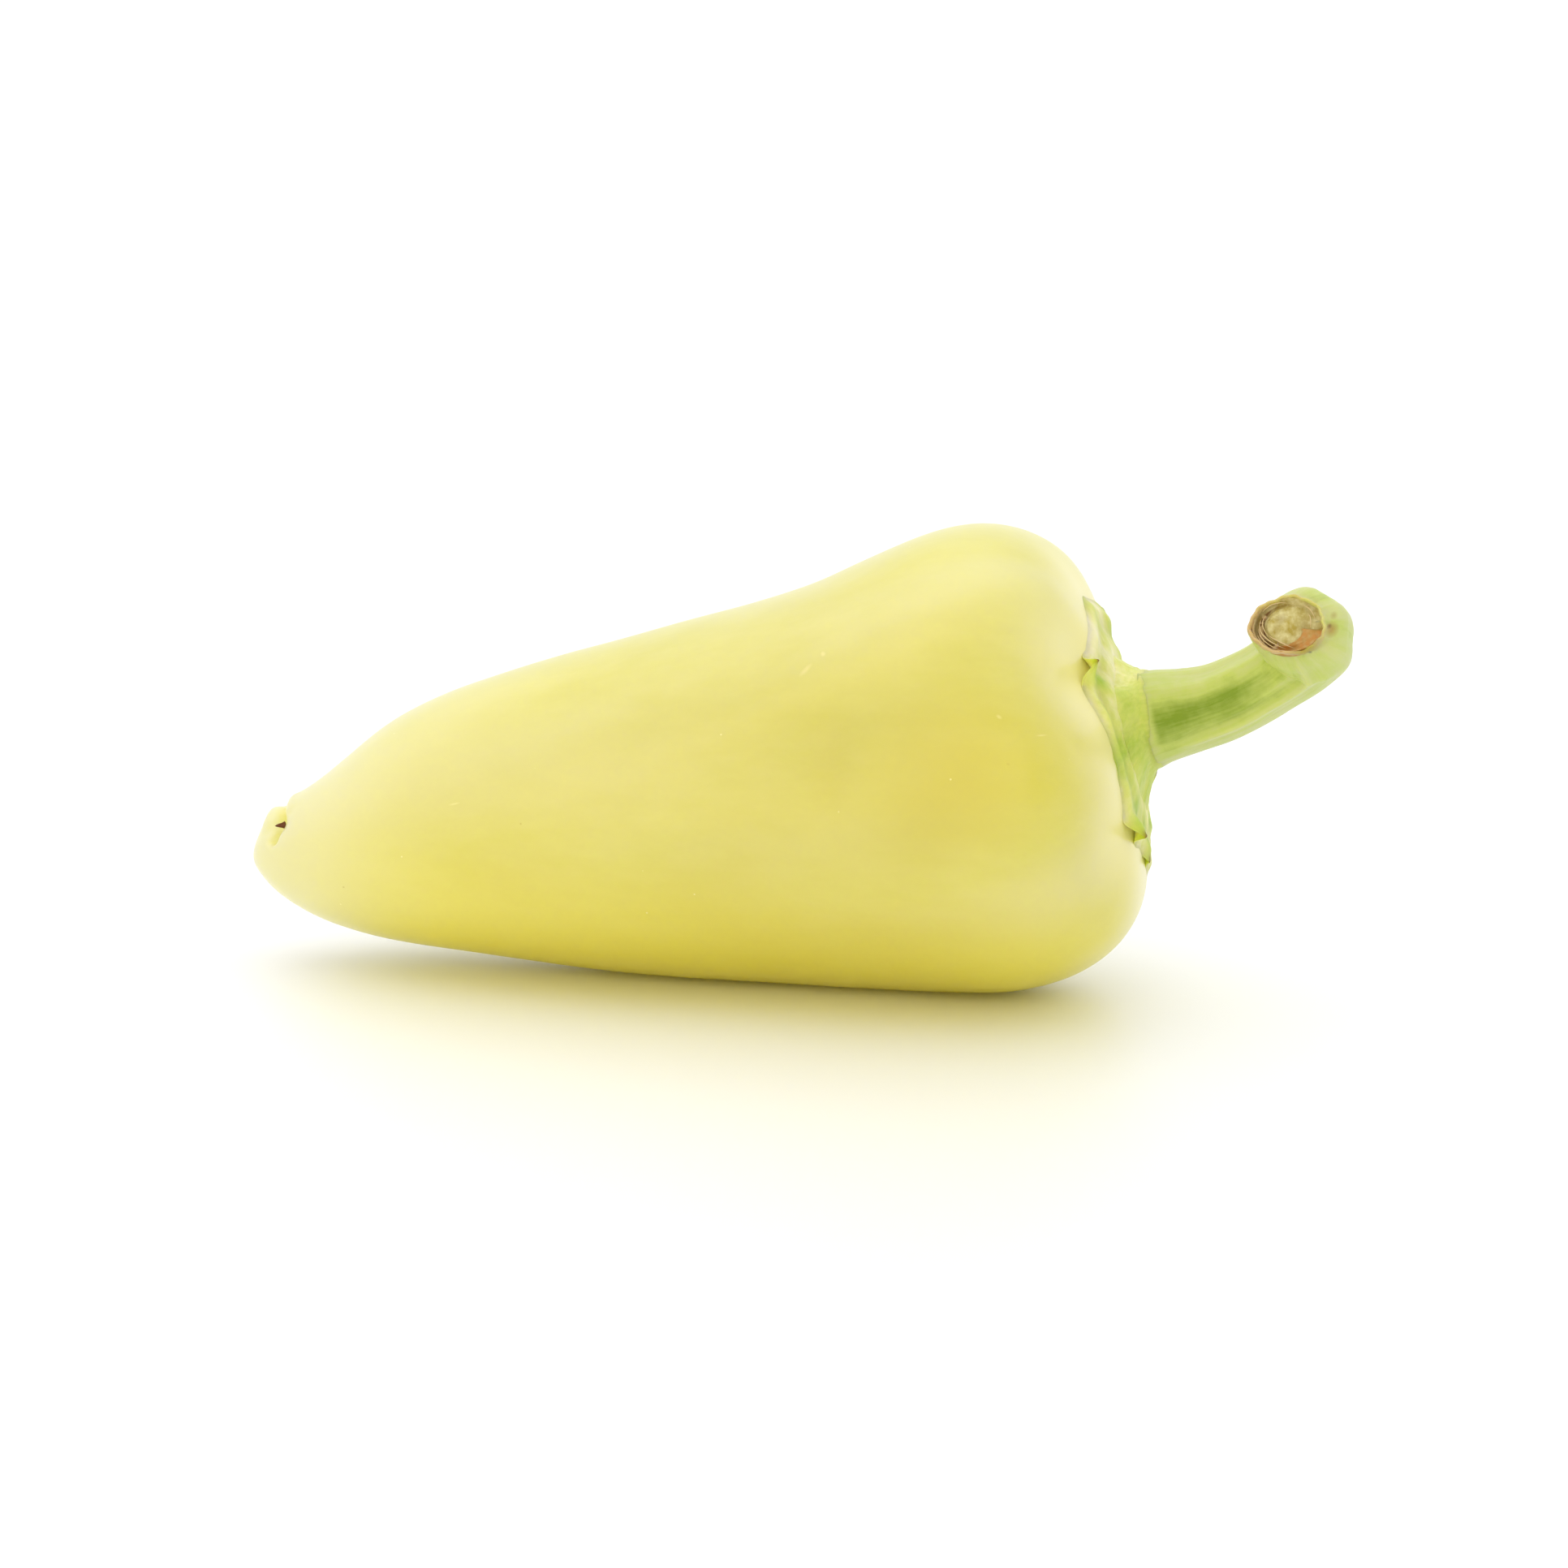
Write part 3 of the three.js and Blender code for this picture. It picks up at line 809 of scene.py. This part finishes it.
# A shallow waist marks the joint with the calyx, and the swollen end has a dried lip that folds in.
arm_mm -= 0.05 * hump(stem_share - 0.035, 0.02)
arm_mm += smooth_step(0.93, 1.0, stem_share) * (0.25 + 0.35 * lumps)

stem_rows = list(tube(stem_middle, arm_mm * MM))
end_middle = stem_middle[-1]
end_axis, end_up, end_side = np.array(CUT_FACES), np.array(CUT_UP), np.array(CUT_ACROSS)
# Each line of the rind's grid ends on the oval rim of the cut.
rim_arm = stem_rows[-1] - end_middle
rim_turn = np.arctan2(rim_arm @ end_side, rim_arm @ end_up)
rim_wave = (
    1 + 0.03 * np.sin(3 * rim_turn + 0.6) + 0.02 * np.sin(7 * rim_turn + 2.0) + 0.012 * np.sin(17 * rim_turn))
rim_arm = MM * rim_wave[:, None] * (
    CUT_HALF_WIDTH * np.sin(rim_turn)[:, None] * end_side
    + CUT_HALF_HEIGHT * np.cos(rim_turn)[:, None] * end_up)
inner_side = hump(degrees_apart(stem_turn_deg[0], 135), 42)
for i in range(STEM_ROWS):
    share = float(stem_share[i, 0])
    settled = float(smooth_step(0.84, 1.0, share))
    to_rim = end_middle + rim_arm * (1 + 0.9 * (1 - share)) - end_axis * MM * 26 * (1 - share)
    stem_rows[i] = stem_rows[i] * (1 - settled) + to_rim * settled
    # The inner side of the bend is drawn in.
    drawn_in = 1.3 * float(smooth_step(0.74, 0.86, share) * (1 - smooth_step(0.94, 1.0, share)))
    arm = stem_rows[i] - stem_middle[i]
    arm /= np.linalg.norm(arm, axis=1, keepdims=True)
    stem_rows[i] = stem_rows[i] - arm * (drawn_in * inner_side)[:, None] * MM
lip_wave = 0.3 * np.sin(3 * rim_turn + 0.6) + 0.25 * np.sin(8 * rim_turn + 2.0) + 0.2 * np.sin(19 * rim_turn)
# The lip is dry on the lower left of the cut, and green flesh folds over it on the upper right.
lip_side = 0.5 + 0.5 * np.cos(rim_turn - math.radians(235))
for shrink, ahead in ((0.985, 0.3), (0.96, 0.42), (0.935, 0.4), (0.91, 0.2), (0.895, -0.2), (0.885, -0.8),
                      (0.86, -1.2), (0.5, -1.3), (0.0, -1.3)):
    stem_rows.append(end_middle + rim_arm * shrink + end_axis * MM * (ahead * (1 + 0.7 * lip_wave))[:, None])
# The stem starts inside the cone.
inside = stem_middle[0] - frames_along(stem_middle)[0][0] * 0.8 * MM
stem_rows[:0] = [np.tile(inside, (STEM_AROUND, 1)), inside + 0.9 * (stem_rows[0] - stem_middle[0])]
stem_grid = np.array(stem_rows)
lip_rows = len(stem_rows) - STEM_ROWS - 2


def lengthened(grid):
    """The grid with rows for the middle of the joint and for the lip."""
    return np.concatenate([grid[:1], grid[:1], grid] + [grid[-1:]] * lip_rows)


stem_dry = smooth_step(0.975, 1.0, stem_share + 0.01 * lip_wave[None, :]) * (0.25 + 0.75 * lip_side[None, :])
stem_dry += 0.3 * smooth_step(0.88, 0.98, stem_share) * (0.4 + 0.6 * np.clip(lumps, 0, 1))
torn_side = hump(rim_turn - math.radians(145), math.radians(24))
stem_torn = smooth_step(0.94, 0.985, stem_share + 0.02 * lumps) * torn_side[None, :]
# Painted highlight and shade: the ridges are painted paler and the grooves darker.
dark = hump(degrees_apart(stem_turn_deg, 88), 30)
stem_dark = (
    0.72 * dark * smooth_step(0.01, 0.045, stem_share) * (1 - smooth_step(0.25, 0.7, stem_share))
    + 0.12 * groove_here - 0.24 * ridge_here + 0.19
    + 0.06 * smooth_step(0.6, 0.85, stem_share) - 0.02 * (1 - smooth_step(0.02, 0.05, stem_share)))
stem_dark += 0.16 * fibres + 0.12 * lumps

# Stem rind: firm green fibres under a thin cuticle. Its ridges are painted paler, a painted highlight, and
# its grooves darker, painted shade.
rind, tree, shader = new_material("pepper_stem_rind")
place = kept(tree, "straight", "Vector")
drawn = add_node(tree, "ShaderNodeMapping", {"Vector": place, "Scale": (0.07, 1, 1)}).outputs["Vector"]
# Fibres about 0.3 mm across and fifteen times as long.
threads = noise_of(tree, drawn, 0.55, 4.0, 0.62)
blotches = noise_of(tree, place, 1.6, 3.0, 0.6)
unevenness = add_node(tree, "ShaderNodeMath", {
    0: rescaled(tree, threads, 0.3, 0.7, -0.14, 0.14),
    1: rescaled(tree, blotches, 0.3, 0.7, -0.1, 0.1)}, operation="ADD").outputs["Value"]
shade = added(tree, kept(tree, "dark"), unevenness)
rind_colour = greens(tree, shade, "#c9d08c", "#c0ce6e", 0.35, "#829c1c")
# The lip is tan, and the torn skin below the cut olive brown.
rind_colour = blend(tree, kept(tree, "dry"), rind_colour, linear("#c6a781"))
rind_colour = blend(tree, kept(tree, "torn"), rind_colour, linear("#a2953f"))
for centre, half_width, strength, colour in BROWN_SPOTS:
    half_sizes = (half_width, SPOT_DEPTH, half_width)
    rind_colour = marked(tree, rind_colour, centre, half_sizes, 0, SPOT_CORE, strength, colour)
tree.links.new(rind_colour, shader.inputs["Base Color"])
shader.inputs["Roughness"].default_value = 0.45
shader.inputs["IOR"].default_value = 1.45
shader.inputs["Subsurface Weight"].default_value = 0.5
shader.inputs["Subsurface Radius"].default_value = (0.8, 1.0, 0.2)
shader.inputs["Subsurface Scale"].default_value = 2 * MM
bumped(tree, shader, threads, 0.6, 0.1)

stem = closed_skin("stem_rod", [stem_grid], rind)
keep(stem, "straight", lengthened(stem_straight))
keep(stem, "dark", lengthened(stem_dark))
keep(stem, "dry", lengthened(stem_dry))
keep(stem, "torn", lengthened(stem_torn))
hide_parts("stem")
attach(stem, "root")


# Cut end ---------------------------------------------------------------------------------------------------
# The cut face of the stem: olive pith that has shrunk and browned, inside a ring of dark dried vessels, with
# a torn orange-brown flap of rind across its lower side. It is sunk into the stem's lip.

CUT_ROWS = 90
CUT_AROUND = 220
CUT_REACH = 0.93  # the share of the oval rim that the face fills
CUT_BACK = 1.25  # how far its back lies inside the rim, mm
FLAP_TURN, FLAP_HALF = 152, 64  # degrees round the face, clockwise from its top


def end_place(across, up, ahead_mm):
    """A point of the cut end: shares of its half width and half height from its middle, and mm out of it."""
    return end_middle + MM * (
        CUT_HALF_WIDTH * across[..., None] * end_side + CUT_HALF_HEIGHT * up[..., None] * end_up
        + ahead_mm[..., None] * end_axis)


cut_share = np.linspace(0, 1, CUT_ROWS)[:, None]
cut_turn = (2 * np.pi * np.arange(CUT_AROUND) / CUT_AROUND)[None, :]
radius = CUT_REACH * cut_share + 0 * cut_turn
across = radius * np.sin(cut_turn)
up = radius * np.cos(cut_turn)
flat_place = np.stack([CUT_HALF_WIDTH * across, CUT_HALF_HEIGHT * up, 0 * up], axis=2) * MM
big = lumps_over(flat_place, 1.9, 2)
small = lumps_over(flat_place, 0.6, 6)
cut_apart = np.abs(degrees_apart(np.degrees(cut_turn), FLAP_TURN))
flap_edge = 0.3 + 0.4 * np.clip((np.degrees(cut_turn) - 100) / 110, 0, 1)  # it narrows to the lower left
flap = smooth_step(0, 12, FLAP_HALF - cut_apart) * smooth_step(0, 0.1, cut_share + 0.08 * big - flap_edge)
ring_side = (0.5 + 0.5 * np.cos(cut_turn - math.radians(240))) ** 1.6
ring_brown = hump(cut_share - 0.8 - 0.05 * big, 0.12) * (0.15 + 1.05 * ring_side)
ring_lines = np.sin(radius * 60 + 3 * big) * smooth_step(0.45, 0.65, cut_share) * ring_side
ahead_mm = (
    -0.5 - 0.75 * ring_brown + 0.65 * big + 0.1 * small
    + 0.5 * np.exp(-((across + 0.15) ** 2 + (up - 0.1) ** 2) / 0.12)
    + 0.08 * ring_lines
    + 0.6 * flap * (1 - 0.3 * cut_share)
    + 0.45 * smooth_step(0.88, 1.0, cut_share))
front = end_place(across, up, ahead_mm)
back = [end_place(across[-1] * k, up[-1] * k, 0 * up[-1] - CUT_BACK) for k in (1.0, 0.5, 0.0)]
cut_grid = np.concatenate([front, np.array(back)])


def with_back(grid):
    """The grid with rows for the back of the face."""
    return np.concatenate([grid] + [grid[-1:]] * len(back))


# Dried pith: matt and corky, from olive through brown, with no gloss left.
pith, tree, shader = new_material("dried_stem_pith")
place = add_node(tree, "ShaderNodeTexCoord").outputs["Object"]
# Shrunken lumps, about 1 mm across, with cork cells in them.
cells = noise_of(tree, place, 1.1, 5.0, 0.55)
pith_colour = blend(tree, rescaled(tree, cells, 0.33, 0.67), linear("#ad9c48"), linear("#dcd6a4"))
pith_colour = blend(tree, kept(tree, "brown"), pith_colour, linear("#74512a"))
pith_colour = blend(tree, kept(tree, "flap"), pith_colour, linear("#bb8440"))
pith_colour = blend(tree, kept(tree, "rim"), pith_colour, linear("#cdb184"))
tree.links.new(pith_colour, shader.inputs["Base Color"])
shader.inputs["Roughness"].default_value = 0.7
bumped(tree, shader, cells, 0.7, 0.15)

cut = closed_skin("stem_cut_face", [cut_grid], pith)
keep(cut, "brown", with_back(np.clip(
    ring_brown * (1 + 0.5 * small) + 0.3 * ring_lines + 0.7 * np.clip(-big, 0, 1), 0, 1)))
keep(cut, "flap", with_back(flap * np.clip(0.8 + 0.5 * small, 0, 1)))
keep(cut, "rim", with_back(smooth_step(0.92, 0.99, cut_share + 0.03 * big) * (1 - flap) * ring_side))
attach(cut, "root")


# Cut fibres ------------------------------------------------------------------------------------------------
# What is left of the stem's tough strands at the cut: loose dry fibres, each about a tenth of a millimetre
# thick. They lie across the shrunken pith, and both their ends are grown into it.

FIBRE_ROWS, FIBRE_AROUND = 22, 8
FIBRE_RADIUS = 0.06 * MM

# Each fibre: the turns in degrees where it starts and ends, its shares of the face's radius there, and how
# far it stands off in mm.
FIBRES = [
    (186, 262, 0.84, 0.76, 0.6), (178, 250, 0.76, 0.68, 0.8), (196, 285, 0.70, 0.74, 0.5),
    (170, 236, 0.64, 0.58, 0.8), (202, 246, 0.9, 0.84, 0.45), (300, 352, 0.84, 0.8, 0.4),
    (20, 66, 0.8, 0.72, 0.5), (44, 92, 0.66, 0.56, 0.6), (162, 216, 0.76, 0.54, 0.8),
    (230, 300, 0.6, 0.7, 0.35),
]
fibre_grids = []
for start, end, from_share, to_share, stand in FIBRES:
    share = np.linspace(0, 1, FIBRE_ROWS)
    turn = np.radians(start + (end - start) * share)
    reach = from_share + (to_share - from_share) * share
    path = end_place(reach * np.sin(turn), reach * np.cos(turn), stand * np.sin(math.pi * share) - 0.35)
    thick = FIBRE_RADIUS * np.clip(np.sin(math.pi * share), 0.02, 1) ** 0.5
    fibre_grids.append(tube(path, np.tile(thick[:, None], (1, FIBRE_AROUND))))

# Dried strands: pale straw, dull and dry.
dry_fibre, tree, shader = new_material("dry_plant_fibre")
shader.inputs["Base Color"].default_value = linear("#d3bd8e")
shader.inputs["Roughness"].default_value = 0.6
fibres_piece = closed_skin("stem_cut_fibres", fibre_grids, dry_fibre)
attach(fibres_piece, "root")


# Style remnant ---------------------------------------------------------------------------------------------
# What is left of the flower's style: a dry brown wedge, held in the crease of the scar by the skin round it.

STYLE_FROM = np.array((-63.6, -4.5, 17.65)) * MM  # its broad end
STYLE_TO = np.array((-64.95, -5.0, 17.6)) * MM  # its point
STYLE_HALF = 0.46  # half its thickness at the broad end, mm
STYLE_ROWS, STYLE_AROUND = 26, 28

share = np.linspace(0, 1, STYLE_ROWS)
path = STYLE_FROM + share[:, None] * (STYLE_TO - STYLE_FROM)
around = 2 * np.pi * np.arange(STYLE_AROUND) / STYLE_AROUND
thick = STYLE_HALF * np.minimum(1, np.sqrt(share / 0.12)) * (1 - share) ** 0.75
uneven = 1 + 0.16 * np.sin(3 * around + 1)[None, :] + 0.1 * np.sin(5 * around + 9 * share[:, None])
style_grid = tube(path, thick[:, None] * uneven * MM)

# Dried style: dark brown, fibrous and dull.
style_brown, tree, shader = new_material("dried_flower_style")
place = add_node(tree, "ShaderNodeTexCoord").outputs["Object"]
brown = blend(tree, noise_of(tree, place, 0.25, 3.0, 0.5), linear("#4a230c"), linear("#7a4319"))
tree.links.new(brown, shader.inputs["Base Color"])
shader.inputs["Roughness"].default_value = 0.75

style = closed_skin("style_wedge", [style_grid], style_brown)
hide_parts("style_remnant")
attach(style, "root")
